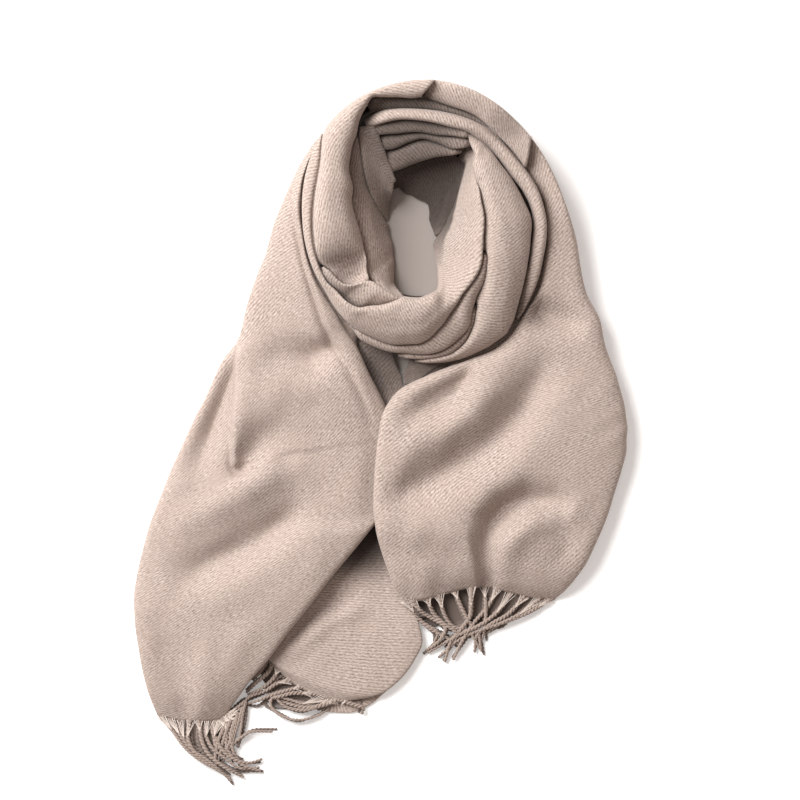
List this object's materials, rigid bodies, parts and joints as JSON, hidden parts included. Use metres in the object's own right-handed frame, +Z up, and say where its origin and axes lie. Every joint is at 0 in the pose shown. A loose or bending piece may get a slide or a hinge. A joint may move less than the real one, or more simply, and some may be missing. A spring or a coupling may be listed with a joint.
{
  "type": "faux cashmere scarf",
  "caption": "Fringed brushed twill scarf, wound once round an open neck hole and laid flat with both ends spread below it.",
  "frame": {"origin": "on the floor under the middle of the outline, bottom centre of the bounding box", "axes": "+X to the picture's right, +Y to the picture's top, from the hems to the neck loop, +Z up off the floor"},
  "size_m": [0.4924, 0.6982, 0.0758],
  "materials": {
    "brushed_twill": "brushed, soft nap with a faint twill line",
    "inner_plies": "brushed",
    "twisted_fringe": "twisted, slightly fuzzy yarn"
  },
  "bodies": {
    "root": {"back_band": "brushed_twill", "left_band": "brushed_twill", "front_ply": "brushed_twill", "front_band": "brushed_twill", "second_fold": "brushed_twill", "third_fold": "brushed_twill", "right_band": "brushed_twill", "thin_band": "brushed_twill", "back_under_band": "brushed_twill", "back_under_left": "brushed_twill", "back_fold_1": "brushed_twill", "back_fold_2": "brushed_twill", "back_fold_3": "brushed_twill", "back_wall": "brushed_twill", "inner_left_deep": "brushed_twill", "inner_left": "brushed_twill", "left_tail": "brushed_twill", "right_tail": "brushed_twill", "under_tail": "brushed_twill", "bottom_layer": "brushed_twill", "gap_layer_left": "brushed_twill", "gap_layer_right": "brushed_twill", "loop_hidden_layers": "inner_plies", "left_tail_hidden_layers": "inner_plies", "right_tail_hidden_layers": "inner_plies", "fringe_right": "twisted_fringe", "fringe_left": "twisted_fringe", "fringe_under": "twisted_fringe"}
  },
  "joints": []
}
